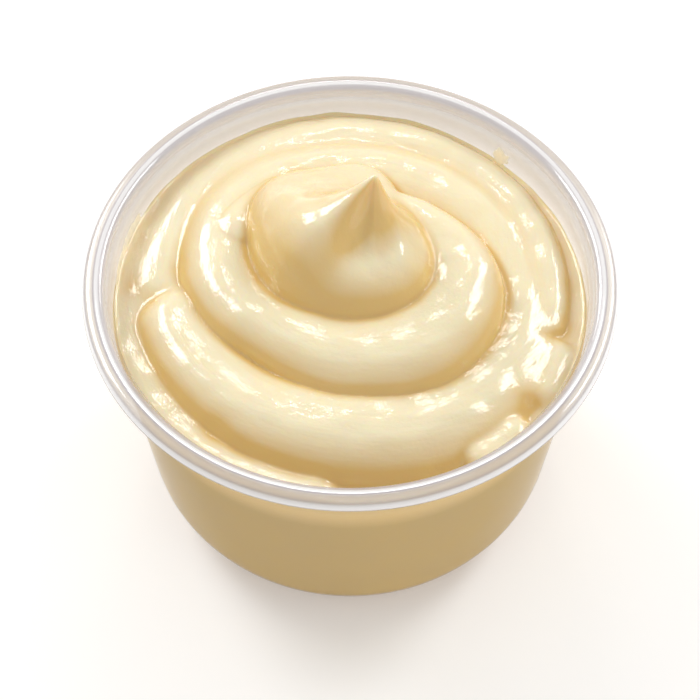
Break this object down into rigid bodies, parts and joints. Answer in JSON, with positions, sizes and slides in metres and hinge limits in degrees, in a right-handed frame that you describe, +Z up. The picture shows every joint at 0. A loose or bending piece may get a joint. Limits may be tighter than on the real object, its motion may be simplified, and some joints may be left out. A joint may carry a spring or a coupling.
{
  "type": "mayonnaise portion cup",
  "caption": "Small clear plastic portion cup with a rolled rim, filled with mayonnaise piped in a swirl that ends in a drawn-up peak.",
  "frame": {"origin": "bottom centre of the cup, on the surface it stands on", "axes": "+Z up out of the cup, -Y towards the side that the picture shows"},
  "size_m": [0.075, 0.075, 0.0609],
  "materials": {
    "clear_plastic": "clear, glossy",
    "mayonnaise": "smooth, moist sheen"
  },
  "bodies": {
    "root": {"cup": "clear_plastic", "mayonnaise": "mayonnaise"}
  },
  "joints": []
}
